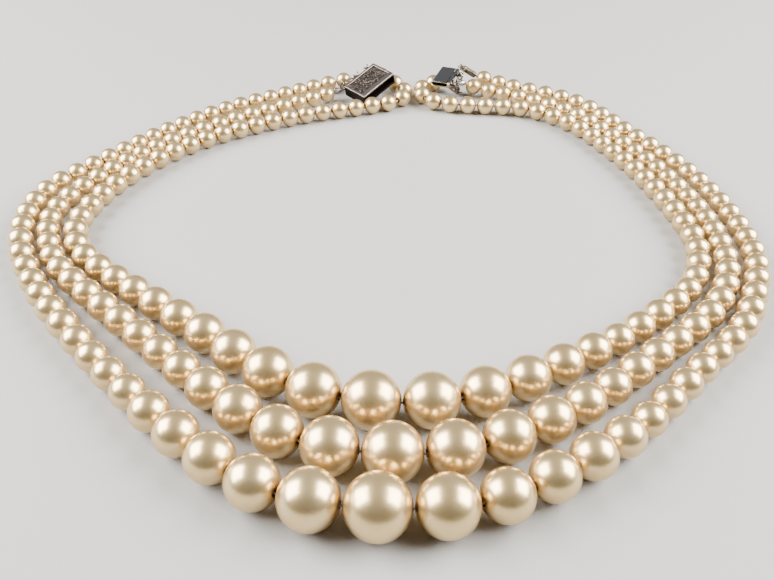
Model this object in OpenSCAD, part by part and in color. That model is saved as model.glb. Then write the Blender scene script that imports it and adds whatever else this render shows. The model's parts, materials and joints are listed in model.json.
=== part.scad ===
// A three strand necklace of graduated pearls that lies open on a table.
// +Z is up, -Y is the front of the loop and the table is at z = 0.
// Each strand is a route on the table with drilled pearls strung along it.

/* [Pearls] */
// Diameter of the largest pearl, in the middle of the outer strand
pearl_d = 10; // [9.9:0.05:10.05]
// Clear space between one pearl and the next on the same thread
pearl_gap = 0.12; // [0.11:0.01:0.14]
// Diameter of the hole drilled through each pearl
hole_d = 1; // [0.9:0.05:1.1]
// Diameter of the stringing thread
thread_d = 0.4; // [0.3:0.05:0.45]

/* [Clasp box] */
// Width of the box across the strands
box_w = 12; // [11.8:0.1:12.2]
// Length of the box from the strand side to its mouth
box_l = 8; // [7.8:0.1:8.2]
// Height of the box without its ornament
box_h = 3; // [2.8:0.1:3]
// Thickness of the sheet silver walls
sheet = 0.5; // [0.4:0.05:0.6]
// Height of the raised ornament and rim on the lid
relief_h = 0.3; // [0.2:0.05:0.4]

/* [Clasp tongue] */
// Width of the spring tongue across the strands
tongue_w = 9; // [8.6:0.1:9.4]
// Length of the spring tongue from its fold to the end bar
tongue_l = 5.5; // [5.2:0.1:5.8]
// Height of the folded tongue at the end bar
tongue_h = 1.5; // [1.3:0.1:1.6]
// Thickness of the folded leaf
leaf = 0.35; // [0.3:0.05:0.4]

/* [End fittings] */
// Diameter of the round tip that closes each strand end
tip_d = 1.6; // [1.5:0.05:1.65]
// Wire diameter of the loops and eyes
loop_wire_d = 0.5; // [0.4:0.05:0.5]
// Wire diameter of the long links that join tips and clasp
link_wire_d = 0.4; // [0.3:0.05:0.4]

/* [Hidden] */
PEARL_FN = 48;
WIRE_FN = 24;
SPLINE_STEPS = 12;
THREAD_SIDES = 8;

// Sizes of the pearls as shares of pearl_d, each strand's left and right arm.
// Columns: steps from the middle pearl, outer, middle and inner left and right.
STEPS_COL = 0;
OUTER_COLS = [1, 2];
MIDDLE_COLS = [3, 4];
INNER_COLS = [5, 6];
SIZE_SHARES = [
    [0, 1.000, 1.000, 0.955, 0.955, 0.975, 0.975],
    [1, 0.935, 0.945, 0.920, 0.920, 0.925, 0.940],
    [2, 0.840, 0.825, 0.835, 0.840, 0.870, 0.860],
    [3, 0.800, 0.785, 0.790, 0.770, 0.790, 0.790],
    [4, 0.745, 0.750, 0.720, 0.700, 0.735, 0.725],
    [5, 0.680, 0.675, 0.650, 0.645, 0.685, 0.660],
    [6, 0.615, 0.590, 0.620, 0.630, 0.640, 0.590],
    [8, 0.565, 0.570, 0.595, 0.575, 0.570, 0.575],
    [10, 0.570, 0.530, 0.560, 0.555, 0.535, 0.515],
    [13, 0.515, 0.540, 0.505, 0.515, 0.510, 0.510],
    [17, 0.520, 0.500, 0.475, 0.470, 0.475, 0.490],
    [22, 0.460, 0.470, 0.450, 0.450, 0.465, 0.455],
    [30, 0.450, 0.480, 0.475, 0.455, 0.455, 0.470],
    [40, 0.440, 0.460, 0.400, 0.430, 0.475, 0.475]
];

// Routes seen from above, from the left end to the right end, in millimetres.
// A third number is how far the clasp lifts the strand off the table there.
// The middle pearl of a strand sits on its middle point.
OUTER_ROUTE = [
    [-9.5, 75.9, 1.4], [-13.5, 75.1, 0.8], [-17.4, 74, 0.3], [-21.4, 71.8], [-29, 66.5], [-43, 56.5], [-56, 42.5],
    [-66.5, 27.5], [-74.5, 15.5], [-77, 6], [-76, -4.5], [-72.5, -14.5],
    [-64, -28], [-53, -41], [-40.5, -54], [-30.5, -63.5], [-18, -73],
    [-9, -76.3], [0.5, -77.6], [10, -77],
    [19, -74.5], [32.5, -66.5], [43.3, -57.7], [55.5, -45], [66.8, -33.2],
    [74, -19], [77, -8.5], [77, 6.5], [74.5, 21], [69.5, 34.5],
    [62.5, 47.5], [56, 61], [49, 68], [36.5, 74.5], [28.5, 80], [24.6, 81.4, 1.2]
];

MIDDLE_ROUTE = [
    [-13.5, 69, 0.6], [-17.2, 66.5, 0.2], [-28, 58.5], [-43, 47], [-56.5, 33.5],
    [-64, 22], [-70, 9.5], [-71.5, 0], [-68.5, -10], [-63.5, -19],
    [-51, -31.5], [-37.5, -44], [-28, -53], [-15.5, -63],
    [-7.2, -66.1], [2.5, -67.4], [12, -66.5],
    [20.5, -63], [33.8, -54.7], [48.5, -42], [61.5, -30], [67.2, -21.1],
    [70.5, -11], [71, 4.5], [68.5, 18.5], [64.5, 31.5], [58.5, 44.5],
    [52, 56.5], [45, 63], [37, 68], [29, 72], [24.8, 73.7, 0.4], [21.4, 74.2, 1.4]
];

INNER_ROUTE = [
    [-4.5, 78.8, 2.3], [-0.8, 78, 1], [3, 74.5], [6, 70], [5, 65], [1, 62.5],
    [-7.5, 59], [-21, 54], [-33.5, 47], [-45, 38.5], [-54.5, 27.5],
    [-61.5, 14.5], [-65, -0.5], [-62.5, -11], [-55.5, -19], [-41.5, -30.5],
    [-30.5, -39.5], [-18, -50],
    [-10, -54.6], [-1, -56.7], [8.5, -56.3],
    [17.5, -53.5], [31.2, -45.8], [47, -34.5], [59.3, -22.8], [64.2, -13.3],
    [66, -3], [64, 12], [60.5, 26.5], [55.5, 39.5], [51.5, 48],
    [45.5, 55.5], [37.5, 60.5], [28, 61.5], [18.5, 62], [13, 63.5],
    [9.5, 67.5], [9.6, 72.5], [12.8, 76.6], [17, 78]
];

// Rings: middle line of the tips' eyes, the clasp's loops and the link ends.
EYE_R = 0.65;
LOOP_R = 0.85;
LINK_END_R = 1;
// The straight parts of a link lap over its bends and are this much thicker.
LINK_LAP = 0.04;

// The tips stand clear of the last pearl and the thread ends inside them.
TIP_CLEAR = 0.3;
TIP_BORE = 1.2;
THREAD_IN_TIP = 0.9;

// Places of the clasp halves: the middle of the top face, and its turn.
// Local x runs across the strands and local y from box back to box mouth.
BOX_AT = [-5, 68.4, 6.1];
BOX_TURN = [-5.5, 18, -134.5];
BOX_LOOP_PITCH = 4;
TONGUE_AT = [16.5, 72.5, 6.6];
TONGUE_TURN = [1.5, 6, -111];
TONGUE_LOOP_PITCH = 3.2;

// Lid ornament in the lid's own frame, in millimetres. A scroll's third number
// is its turn.
RELIEF_ROOT = 0.1;
RIM = 0.7;
MOUTH_BAND = 1.5;
FLOWER_AT = [1.4, -0.4];
ROSETTE_AT = [-3.7, 0.1];
SCROLL_R = 0.95;
SCROLL_W = 0.32;
SCROLLS = [
    [-3.6, -2.2, 20], [-1.1, -2.1, 160], [-1.4, 1.4, -60],
    [1.6, 1.6, 100], [3.9, 1.3, 200], [4.1, -1.3, 300], [2.2, -2.3, 60]
];

// Tongue: length of its end bar and the slit between bar and upper leaf.
BAR_L = 0.8;
LEAF_GAP = 0.2;

// A strand as one row: name, size columns, route, index of its middle point,
// pearls left and right of the middle, and its two ends.
// An end is the place of its loop on the clasp half, the length of its tip, how
// far the thread stands straight out of the last pearl and the point that the
// tip aims at.
NAME = 0;
COLUMNS = 1;
ROUTE = 2;
MIDDLE = 3;
COUNTS = 4;
ENDS = 5;
PLACE = 0;
TIP_L = 1;
THREAD_OUT = 2;
AIM = 3;
STRANDS = [
    ["outer", OUTER_COLS, OUTER_ROUTE, 18, [40, 39],
        [[0, tip_d, 0, [-7.2, 74.5, 5.4]], [-1, 5, 0, [21.8, 80.2, 5.8]]]],
    ["middle", MIDDLE_COLS, MIDDLE_ROUTE, 15, [35, 36],
        [[1, tip_d, 0, [-11, 68.5, 4.7]], [0, tip_d, 0.15, [20.8, 72.4, 5.3]]]],
    ["inner", INNER_COLS, INNER_ROUTE, 19, [37, 37],
        [[-1, tip_d, 0, [-7, 76.7, 6.4]], [1, 6.5, 0.7, [21.2, 71.5, 1.6]]]]
];

// Pearls this many steps from the middle or nearer are nodes of their own.
LARGE_STEPS = 4;

// Diameter of the pearl that lies so many steps from the middle of a strand,
// counted negative on the left arm.
function pearl_size(steps, columns) =
    let (column = columns[steps < 0 ? 0 : 1])
    pearl_d * lookup(abs(steps), [for (row = SIZE_SHARES) [row[STEPS_COL], row[column]]]);

// A route point with its lift, which is nothing where none is given.
function lifted(point) = [point.x, point.y, len(point) > 2 ? point.z : 0];

// A point on the smooth curve through p1 and p2 at t from 0 to 1.
function curve_point(p0, p1, p2, p3, t) =
    (2 * p1 + (p2 - p0) * t + (2 * p0 - 5 * p1 + 4 * p2 - p3) * t * t
        + (3 * p1 - p0 - 3 * p2 + p3) * t * t * t) / 2;

// The whole route in short steps.
function curve(route) =
    let (points = [for (point = route) lifted(point)], last = len(points) - 1)
    concat(
        [for (i = [0:last - 1]) for (j = [0:SPLINE_STEPS - 1])
            let (point = curve_point(points[max(i - 1, 0)], points[i], points[i + 1],
                points[min(i + 2, last)], j / SPLINE_STEPS))
            [point.x, point.y, max(point.z, 0)]],
        [points[last]]
    );

// Length run along a row of points up to each of them.
function run_lengths(points) =
    [for (i = 0, run = 0; i < len(points);
        i = i + 1, run = run + (i < len(points) ? norm(points[i] - points[i - 1]) : 0)) run];

// Tables of x, y and lift against the length run along the route.
function route_tables(points, run) =
    [for (axis = [0:2]) [for (i = [0:len(points) - 1]) [run[i], points[i][axis]]]];

// The point of the route after so much run.
function at_run(tables, run) = [for (table = tables) lookup(run, table)];

// Angle between two directions.
function turn_between(a, b) = acos(max(-1, min(1, a * b / norm(a) / norm(b))));

// Length of thread that one pearl takes. Where the thread bends at the pearl
// or at the joint before it, it is longer than the pearl, so that straight
// holes still leave the neighbours clear.
function pitch(tables, run, size, way) =
    let (
        straight = size + pearl_gap,
        p = [for (i = [-1:2]) at_run(tables, run + i * way * straight / 2)],
        turn = max(turn_between(p[1] - p[0], p[2] - p[1]), turn_between(p[2] - p[1], p[3] - p[2])),
        bend = 2 * turn * PI / 180
    )
    bend < 0.01 ? straight : straight * asin(min(bend, 0.98)) * PI / 180 / bend;

// Run at each joint between pearls, going outwards from the middle pearl.
function arm_runs(tables, columns, start, way, count) =
    [for (i = 1, run = start; i <= count + 1;
        run = run + way * pitch(tables, run, pearl_size(way * i, columns), way), i = i + 1) run];

// A list in reverse order.
function backwards(list) = [for (i = [len(list) - 1:-1:0]) list[i]];

// Diameters of a strand's pearls from its left end to its right end.
function strand_sizes(strand) =
    [for (i = [-strand[COUNTS][0]:strand[COUNTS][1]]) pearl_size(i, strand[COLUMNS])];

// Where the thread passes between pearls, from the left end to the right end.
function strand_joints(strand) =
    let (
        points = curve(strand[ROUTE]),
        run = run_lengths(points),
        tables = route_tables(points, run),
        middle = run[strand[MIDDLE] * SPLINE_STEPS],
        size = pearl_size(0, strand[COLUMNS]),
        left_start = middle - pitch(tables, middle, size, -1) / 2,
        right_start = middle + pitch(tables, middle, size, 1) / 2,
        left = arm_runs(tables, strand[COLUMNS], left_start, -1, strand[COUNTS][0]),
        right = arm_runs(tables, strand[COLUMNS], right_start, 1, strand[COUNTS][1]),
        runs = concat(backwards(left), right),
        sizes = strand_sizes(strand),
        last = len(sizes)
    )
    [for (i = [0:last])
        let (rest = (sizes[max(i - 1, 0)] + sizes[min(i, last - 1)]) / 4)
        at_run(tables, runs[i]) + [0, 0, rest]];

// Middle of a pearl between two joints: its rest height plus the lift there.
function pearl_centre(joints, sizes, i) =
    let (
        mid = (joints[i] + joints[i + 1]) / 2,
        last = len(sizes) - 1,
        rest = (sizes[max(i - 1, 0)] + 2 * sizes[i] + sizes[min(i + 1, last)]) / 8
    )
    [mid.x, mid.y, mid.z - rest + sizes[i] / 2];

S_LAST = len(STRANDS) - 1;
SIZES = [for (strand = STRANDS) strand_sizes(strand)];
JOINTS = [for (strand = STRANDS) strand_joints(strand)];
CENTRES = [for (s = [0:S_LAST])
    [for (i = [0:len(SIZES[s]) - 1]) pearl_centre(JOINTS[s], SIZES[s], i)]];

// The middle of the pearls' outline on the table becomes the origin.
function reach(axis, side) =
    [for (s = [0:S_LAST]) for (i = [0:len(SIZES[s]) - 1])
        CENTRES[s][i][axis] + side * SIZES[s][i] / 2];
ORIGIN = [
    (min(reach(0, -1)) + max(reach(0, 1))) / 2,
    (min(reach(1, -1)) + max(reach(1, 1))) / 2,
    0
];

// A vector turned by angles about x, then y, then z.
function turned(v, a) =
    let (
        u = [v.x, v.y * cos(a.x) - v.z * sin(a.x), v.y * sin(a.x) + v.z * cos(a.x)],
        w = [u.x * cos(a.y) + u.z * sin(a.y), u.y, -u.x * sin(a.y) + u.z * cos(a.y)]
    )
    [w.x * cos(a.z) - w.y * sin(a.z), w.x * sin(a.z) + w.y * cos(a.z), w.z];

// Middles of the clasp's loops in the frame of their own half.
LOOP_OUT = LOOP_R - 0.4 * loop_wire_d;
LOOP_DROP = loop_wire_d;
function box_loop(place) =
    [place * BOX_LOOP_PITCH, -box_l / 2 - LOOP_OUT, -LOOP_DROP];
function tongue_loop(place) =
    [place * TONGUE_LOOP_PITCH, tongue_l / 2 + LOOP_OUT, -tongue_h + LOOP_DROP];

// The end of a strand: where its thread leaves the last pearl, the way its tip
// points, the middles of the tip's eye and of the clasp loop, and the way that
// both rings face, which is square to the link and as upright as it can be.
THREAD_END = 0;
WAY = 1;
EYE = 2;
LOOP = 3;
FACE = 4;
function strand_end(s, side) =
    let (
        end = STRANDS[s][ENDS][side],
        loop = side == 0
            ? BOX_AT + turned(box_loop(end[PLACE]), BOX_TURN)
            : TONGUE_AT + turned(tongue_loop(end[PLACE]), TONGUE_TURN),
        joints = side == 0 ? backwards(JOINTS[s]) : JOINTS[s],
        last = len(joints) - 1,
        hole = joints[last] - joints[last - 1],
        thread_end = joints[last] + end[THREAD_OUT] * hole / norm(hole),
        way = (end[AIM] - thread_end) / norm(end[AIM] - thread_end),
        eye = thread_end + way * (TIP_CLEAR + end[TIP_L] + EYE_R - 0.4 * loop_wire_d),
        span = loop - eye
    )
    [thread_end, way, eye, loop, cross(cross(span, [0, 0, 1]), span)];

// Turns a child that points along +Z so that it points along v.
module point_along(v) {
    rotate([0, acos(v.z / norm(v)), atan2(v.y, v.x)]) children();
}

// A round wire ring in the xy plane.
module ring(r, wire_d) {
    rotate_extrude($fn = 2 * WIRE_FN) translate([r, 0]) circle(d = wire_d, $fn = WIRE_FN);
}

// A drilled pearl.
module pearl(s, i) {
    color([0.93, 0.86, 0.72])
        translate(CENTRES[s][i] - ORIGIN)
            point_along(JOINTS[s][i + 1] - JOINTS[s][i])
                difference() {
                    sphere(d = SIZES[s][i], $fn = PEARL_FN);
                    cylinder(h = SIZES[s][i] + 1, d = hole_d, center = true, $fn = WIRE_FN);
                }
}

// The small pearls of one arm, from the last large one to the clasp.
module string(s, side) {
    count = STRANDS[s][COUNTS][0];
    first = side == 0 ? 0 : count + LARGE_STEPS + 1;
    last = side == 0 ? count - LARGE_STEPS - 1 : len(SIZES[s]) - 1;
    for (i = [first:last]) pearl(s, i);
}

// The thread of a strand, swept through all its joints into both tips.
module thread(s) {
    ends = [for (side = [0, 1])
        let (end = strand_end(s, side), inside = TIP_CLEAR + THREAD_IN_TIP)
        end[THREAD_END] + end[WAY] * inside];
    inner = [for (i = [1:len(JOINTS[s]) - 2]) JOINTS[s][i]];
    leaves = [for (side = [0, 1]) strand_end(s, side)[THREAD_END]];
    path = concat([ends[0], leaves[0]], inner, [leaves[1], ends[1]]);
    last = len(path) - 1;
    points = [for (i = [0:last])
        let (
            way = path[min(i + 1, last)] - path[max(i - 1, 0)],
            side = cross(way, [0, 0, 1]) / norm(cross(way, [0, 0, 1])),
            up = cross(side, way) / norm(way)
        )
        for (j = [0:THREAD_SIDES - 1])
            let (a = j * 360 / THREAD_SIDES)
            path[i] - ORIGIN + (side * cos(a) + up * sin(a)) * thread_d / 2];
    sides = [for (i = [0:last - 1]) for (j = [0:THREAD_SIDES - 1])
        let (a = i * THREAD_SIDES + j, b = i * THREAD_SIDES + (j + 1) % THREAD_SIDES)
        [a, b, b + THREAD_SIDES, a + THREAD_SIDES]];
    start_cap = backwards([for (j = [0:THREAD_SIDES - 1]) j]);
    end_cap = [for (j = [0:THREAD_SIDES - 1]) last * THREAD_SIDES + j];
    color([0.88, 0.84, 0.74])
        polyhedron(points, concat(sides, [start_cap, end_cap]), convexity = 10);
}

// The tip that closes a strand: a bored ball or barrel with an eye.
module tip(s, side) {
    end = strand_end(s, side);
    way = end[WAY];
    color([0.78, 0.78, 0.8]) {
        translate(end[THREAD_END] - ORIGIN)
            rotate([0, 0, atan2(way.y, way.x)])
                rotate([0, -asin(way.z), 0])
                    difference() {
                        tip_body(STRANDS[s][ENDS][side][TIP_L]);
                        translate([TIP_CLEAR - 1, 0, 0])
                            rotate([0, 90, 0])
                                cylinder(h = TIP_BORE + 1, d = hole_d, $fn = WIRE_FN);
                    }
        translate(end[EYE] - ORIGIN) point_along(end[FACE]) ring(EYE_R, loop_wire_d);
    }
}

// The body of a tip along +X: round ends and a straight part between them.
module tip_body(tip_l) {
    straight = tip_l - tip_d;
    for (x = straight > 0 ? [0, straight] : [0])
        translate([TIP_CLEAR + tip_d / 2 + x, 0, 0])
            rotate([0, 0, 90]) sphere(d = tip_d, $fn = 2 * WIRE_FN);
    if (straight > 0)
        translate([TIP_CLEAR + tip_d / 2, 0, 0])
            rotate([0, 90, 0]) cylinder(h = straight, d = tip_d, $fn = 2 * WIRE_FN);
}

// A long wire link from a tip's eye to its clasp loop, standing upright.
module link(s, side) {
    end = strand_end(s, side);
    span = end[LOOP] - end[EYE];
    straight = norm(span) - 2 * LINK_END_R;
    color([0.78, 0.78, 0.8])
        translate((end[LOOP] + end[EYE]) / 2 - ORIGIN)
            rotate([0, 0, atan2(span.y, span.x)])
                rotate([90, -asin(span.z / norm(span)), 0])
                    for (way = [0, 180])
                        rotate([0, 0, way]) {
                            translate([straight / 2, 0, 0])
                                rotate([0, 0, -90])
                                    rotate_extrude(angle = 180, $fn = 2 * WIRE_FN)
                                        translate([LINK_END_R, 0])
                                            circle(d = link_wire_d, $fn = WIRE_FN);
                            translate([-straight / 2 - LINK_LAP, LINK_END_R, 0])
                                rotate([0, 90, 0])
                                    cylinder(h = straight + 2 * LINK_LAP,
                                        d = link_wire_d + LINK_LAP, $fn = WIRE_FN);
                        }
}

// The box half of the clasp: a flat box, open at its mouth, with three loops
// on its back and a raised ornament on its lid.
module clasp_box() {
    color([0.72, 0.72, 0.74])
        translate(BOX_AT - ORIGIN)
            rotate(BOX_TURN) {
                difference() {
                    translate([-box_w / 2, -box_l / 2, -box_h]) cube([box_w, box_l, box_h]);
                    translate([-box_w / 2 + sheet, -box_l / 2 + sheet, -box_h + sheet])
                        cube([box_w - 2 * sheet, box_l, box_h - 2 * sheet]);
                }
                translate([0, 0, -RELIEF_ROOT])
                    linear_extrude(relief_h + RELIEF_ROOT) lid_ornament();
            }
    clasp_loops(0);
}

// The three loops of one clasp half, each facing as its link needs.
module clasp_loops(side) {
    color([0.72, 0.72, 0.74])
        for (s = [0:S_LAST])
            translate(strand_end(s, side)[LOOP] - ORIGIN)
                point_along(strand_end(s, side)[FACE]) ring(LOOP_R, loop_wire_d);
}

// The lid's ornament from above: rim, mouth band, flower, rosette and scrolls.
module lid_ornament() {
    difference() {
        square([box_w, box_l], center = true);
        translate([-box_w / 2 + RIM, -box_l / 2 + RIM])
            square([box_w - 2 * RIM, box_l - RIM - MOUTH_BAND]);
    }
    translate(FLOWER_AT) {
        circle(r = 0.45, $fn = WIRE_FN);
        for (a = [45:90:315]) rotate(a) translate([0.85, 0]) circle(r = 0.58, $fn = WIRE_FN);
    }
    translate(ROSETTE_AT) {
        circle(r = 0.4, $fn = WIRE_FN);
        for (a = [0:72:288]) rotate(a) translate([0.72, 0]) circle(r = 0.36, $fn = WIRE_FN);
    }
    for (at = SCROLLS) translate([at.x, at.y]) rotate(at.z) scroll();
}

// One open scroll with a bud at its end.
module scroll() {
    difference() {
        circle(r = SCROLL_R, $fn = WIRE_FN);
        circle(r = SCROLL_R - SCROLL_W, $fn = WIRE_FN);
        translate([0, -2 * SCROLL_R]) square(2 * SCROLL_R);
    }
    translate([SCROLL_R - SCROLL_W, 0]) circle(r = SCROLL_W, $fn = WIRE_FN);
}

// The tongue half of the clasp: a leaf folded double, with an end bar and
// three loops.
module clasp_tongue() {
    color([0.8, 0.8, 0.82])
        translate(TONGUE_AT - ORIGIN)
            rotate(TONGUE_TURN)
                rotate([90, 0, 90]) linear_extrude(tongue_w, center = true) tongue_side();
    clasp_loops(1);
}

// The tongue from its side, with the fold at the left and the bar at the right.
module tongue_side() {
    fold_r = tongue_h / 2;
    straight = tongue_l - fold_r;
    translate([-tongue_l / 2 + fold_r, -fold_r])
        difference() {
            circle(r = fold_r, $fn = 2 * WIRE_FN);
            circle(r = fold_r - leaf, $fn = 2 * WIRE_FN);
            translate([0, -tongue_h]) square(2 * tongue_h);
        }
    translate([-tongue_l / 2 + fold_r, -leaf])
        square([straight - BAR_L - LEAF_GAP, leaf]);
    translate([-tongue_l / 2 + fold_r, -tongue_h]) square([straight, leaf]);
    translate([tongue_l / 2 - BAR_L, -tongue_h]) square([BAR_L, tongue_h]);
}

LARGE = [-LARGE_STEPS:LARGE_STEPS];
SIDES = ["left", "right"];
function pearl_name(s, k) =
    str("pearl_", STRANDS[s][NAME], "_", k < 0 ? "l" : k > 0 ? "r" : "", abs(k));
function end_name(what, s, side) = str(what, "_", STRANDS[s][NAME], "_", SIDES[side]);

for (s = [0:S_LAST]) {
    for (k = LARGE)
        pearl(s, STRANDS[s][COUNTS][0] + k);
    for (side = [0, 1]) {
        string(s, side);
        tip(s, side);
        link(s, side);
    }
    thread(s);
}
clasp_box();
clasp_tongue();
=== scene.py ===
"""A three strand necklace of graduated imitation pearls with an undone box clasp, dressed for rendering."""

import json
import logging
import math
import random
from dataclasses import dataclass, field
from enum import Enum
from typing import Callable, Iterable, Sequence

import bpy
import numpy as np
from mathutils import Matrix, Vector

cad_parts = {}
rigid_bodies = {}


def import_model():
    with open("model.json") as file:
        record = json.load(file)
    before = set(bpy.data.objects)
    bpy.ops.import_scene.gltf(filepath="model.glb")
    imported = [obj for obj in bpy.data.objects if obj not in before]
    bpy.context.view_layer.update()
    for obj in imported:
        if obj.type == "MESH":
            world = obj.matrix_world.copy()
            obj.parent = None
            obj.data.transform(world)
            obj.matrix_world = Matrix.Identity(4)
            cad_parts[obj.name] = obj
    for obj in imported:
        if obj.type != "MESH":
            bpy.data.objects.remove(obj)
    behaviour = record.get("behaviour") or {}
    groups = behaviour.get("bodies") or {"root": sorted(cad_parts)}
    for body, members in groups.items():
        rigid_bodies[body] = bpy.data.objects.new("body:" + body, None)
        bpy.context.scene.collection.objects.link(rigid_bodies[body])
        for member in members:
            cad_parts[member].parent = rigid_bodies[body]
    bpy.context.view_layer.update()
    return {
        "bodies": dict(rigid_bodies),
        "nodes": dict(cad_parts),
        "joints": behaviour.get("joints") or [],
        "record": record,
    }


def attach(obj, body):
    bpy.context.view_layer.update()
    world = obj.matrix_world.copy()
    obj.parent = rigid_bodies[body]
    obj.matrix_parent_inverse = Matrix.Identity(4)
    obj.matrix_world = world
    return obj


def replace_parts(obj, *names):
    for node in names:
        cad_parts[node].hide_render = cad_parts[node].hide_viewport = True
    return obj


MM = 0.001
FRAME_W = 774
FIRST_SEED = 11
LOG = logging.getLogger("necklace")


class Side(Enum):
    """The two arms of a strand, named as the nodes name them."""

    LEFT = "left"
    RIGHT = "right"


class Row(Enum):
    """The three strands, from the outside of the loop to the inside."""

    OUTER = "outer"
    MIDDLE = "middle"
    INNER = "inner"


class TipShape(Enum):
    """How the fitting that closes a strand end is made."""

    BALL = "ball"
    BELL = "bell"
    COIL = "coil"


def to_linear(hex_colour: str) -> tuple[float, float, float, float]:
    """Turns an sRGB hex colour into the linear colour that shaders use.

    Args:
        hex_colour: Six hex digits after a hash mark.

    Returns:
        Red, green, blue and a full alpha.
    """
    parts = [int(hex_colour[i:i + 2], 16) / 255 for i in (1, 3, 5)]
    red, green, blue = (c / 12.92 if c <= 0.04045 else ((c + 0.055) / 1.055) ** 2.4 for c in parts)
    return (red, green, blue, 1.0)


def per_metre(size_mm: float) -> float:
    """The scale of a texture node whose repeats are this many millimetres apart."""
    return 1 / (size_mm * MM)


def add_node(
    tree: bpy.types.NodeTree,
    kind: str,
    settings: dict[str, object] | None = None,
    inputs: dict[str | int, object] | None = None,
    stops: Sequence[tuple[float, str]] = (),
) -> bpy.types.Node:
    """Adds one node with its settings, its values and its links.

    Args:
        tree: The node tree that it joins.
        kind: The node's type name.
        settings: Properties of the node itself.
        inputs: A value or an output socket for each named input.
        stops: Place and sRGB hex colour of each stop, where the node is a ramp.

    Returns:
        The new node.
    """
    node = tree.nodes.new(kind)
    for name, value in (settings or {}).items():
        setattr(node, name, value)
    for name, value in (inputs or {}).items():
        if isinstance(value, bpy.types.NodeSocket):
            tree.links.new(value, node.inputs[name])
        else:
            node.inputs[name].default_value = value
    for i, (place, colour) in enumerate(stops):
        elements = node.color_ramp.elements
        element = elements[i] if i < len(elements) else elements.new(1.0)
        element.position = place
        element.color = to_linear(colour)
    return node


def blank_material(name: str) -> tuple[bpy.types.Material, bpy.types.NodeTree]:
    """A new material with an empty node tree.

    Args:
        name: The material's name.

    Returns:
        The material and its tree.
    """
    material = bpy.data.materials.new(name)
    material.use_nodes = True
    material.node_tree.nodes.clear()
    return material, material.node_tree


def close_material(tree: bpy.types.NodeTree, surface: bpy.types.Node) -> None:
    """Links a shader to a new output node.

    Args:
        tree: The material's tree.
        surface: The shader node.
    """
    add_node(tree, "ShaderNodeOutputMaterial", inputs={"Surface": surface.outputs[0]})


@dataclass(frozen=True)
class PearlLacquer:
    """Pearl essence lacquer, dipped in many coats over a glass bead.

    Its fine plates lie flat and mirror softly, so the bead is mostly metallic,
    with a clear glossy last coat. That gives the eye two sharp white lights in
    a soft silver glow, over a champagne body that deepens to gold at its edge.
    The real plates are 0.02 mm wide, too fine to show, and are drawn coarser.
    """

    name: str = "pearl_lacquer"
    pale: str = "#EAD6A9"
    deep: str = "#DBBD84"
    blush: str = "#E3C69A"
    hole_rim_brown: str = "#8E5A2C"
    # Brown mixed in, in patches, round each hole's rim and inside the hole.
    glow: str = "#FFEBC2"
    cloud_mm: float = 2.4
    grain_mm: float = 0.8
    metallic: float = 0.86
    roughness: tuple[float, float] = (0.277, 0.32)
    coat_roughness: float = 0.15
    bump_mm: float = 0.002

    def make(self) -> bpy.types.Material:
        """Builds the material.

        Returns:
            The lacquer, driven by the beads' own tone and rim attributes.
        """
        material, tree = blank_material(self.name)
        place = add_node(tree, "ShaderNodeTexCoord").outputs["Object"]
        tone = add_node(tree, "ShaderNodeAttribute", {"attribute_name": "bead_tone"}).outputs["Fac"]
        rim = add_node(tree, "ShaderNodeAttribute", {"attribute_name": "bead_rim"}).outputs["Fac"]
        cloud = add_node(tree, "ShaderNodeTexNoise", inputs={
            "Vector": place, "Scale": per_metre(self.cloud_mm), "Detail": 3.0, "Roughness": 0.55})
        shift = add_node(tree, "ShaderNodeMath", {"operation": "MULTIPLY_ADD"}, {
            0: cloud.outputs["Fac"], 1: 0.5, 2: tone})
        shade = add_node(tree, "ShaderNodeValToRGB", inputs={"Fac": shift.outputs[0]}, stops=[
            (0.15, self.pale), (0.55, self.deep), (0.95, self.blush)])
        # Brown is mixed in round each hole's rim and inside the hole, in patches set by the cloud noise.
        hole_rim_patches = add_node(tree, "ShaderNodeMath", {"operation": "MULTIPLY"}, {
            0: rim, 1: cloud.outputs["Fac"]})
        hole_rim_share = add_node(tree, "ShaderNodeMapRange", inputs={
            "Value": hole_rim_patches.outputs[0], "From Min": 0.18, "From Max": 0.5})
        colour = add_node(tree, "ShaderNodeMix", {"data_type": "RGBA"}, {
            "Factor": hole_rim_share.outputs[0], 6: shade.outputs["Color"], 7: to_linear(self.hole_rim_brown)})
        grain = add_node(tree, "ShaderNodeTexNoise", inputs={
            "Vector": place, "Scale": per_metre(self.grain_mm), "Detail": 1.0})
        gloss = add_node(tree, "ShaderNodeMapRange", inputs={
            "Value": grain.outputs["Fac"], "To Min": self.roughness[0], "To Max": self.roughness[1]})
        bump = add_node(tree, "ShaderNodeBump", inputs={
            "Strength": 0.2, "Distance": self.bump_mm * MM, "Height": grain.outputs["Fac"]})
        surface = add_node(tree, "ShaderNodeBsdfPrincipled", inputs={
            "Base Color": colour.outputs[2], "Metallic": self.metallic, "Roughness": gloss.outputs[0],
            "Normal": bump.outputs[0], "IOR": 1.5, "Coat Weight": 1.0,
            "Coat Roughness": self.coat_roughness, "Coat IOR": 1.5,
            "Specular Tint": to_linear(self.glow)})
        close_material(tree, surface)
        return material


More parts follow.
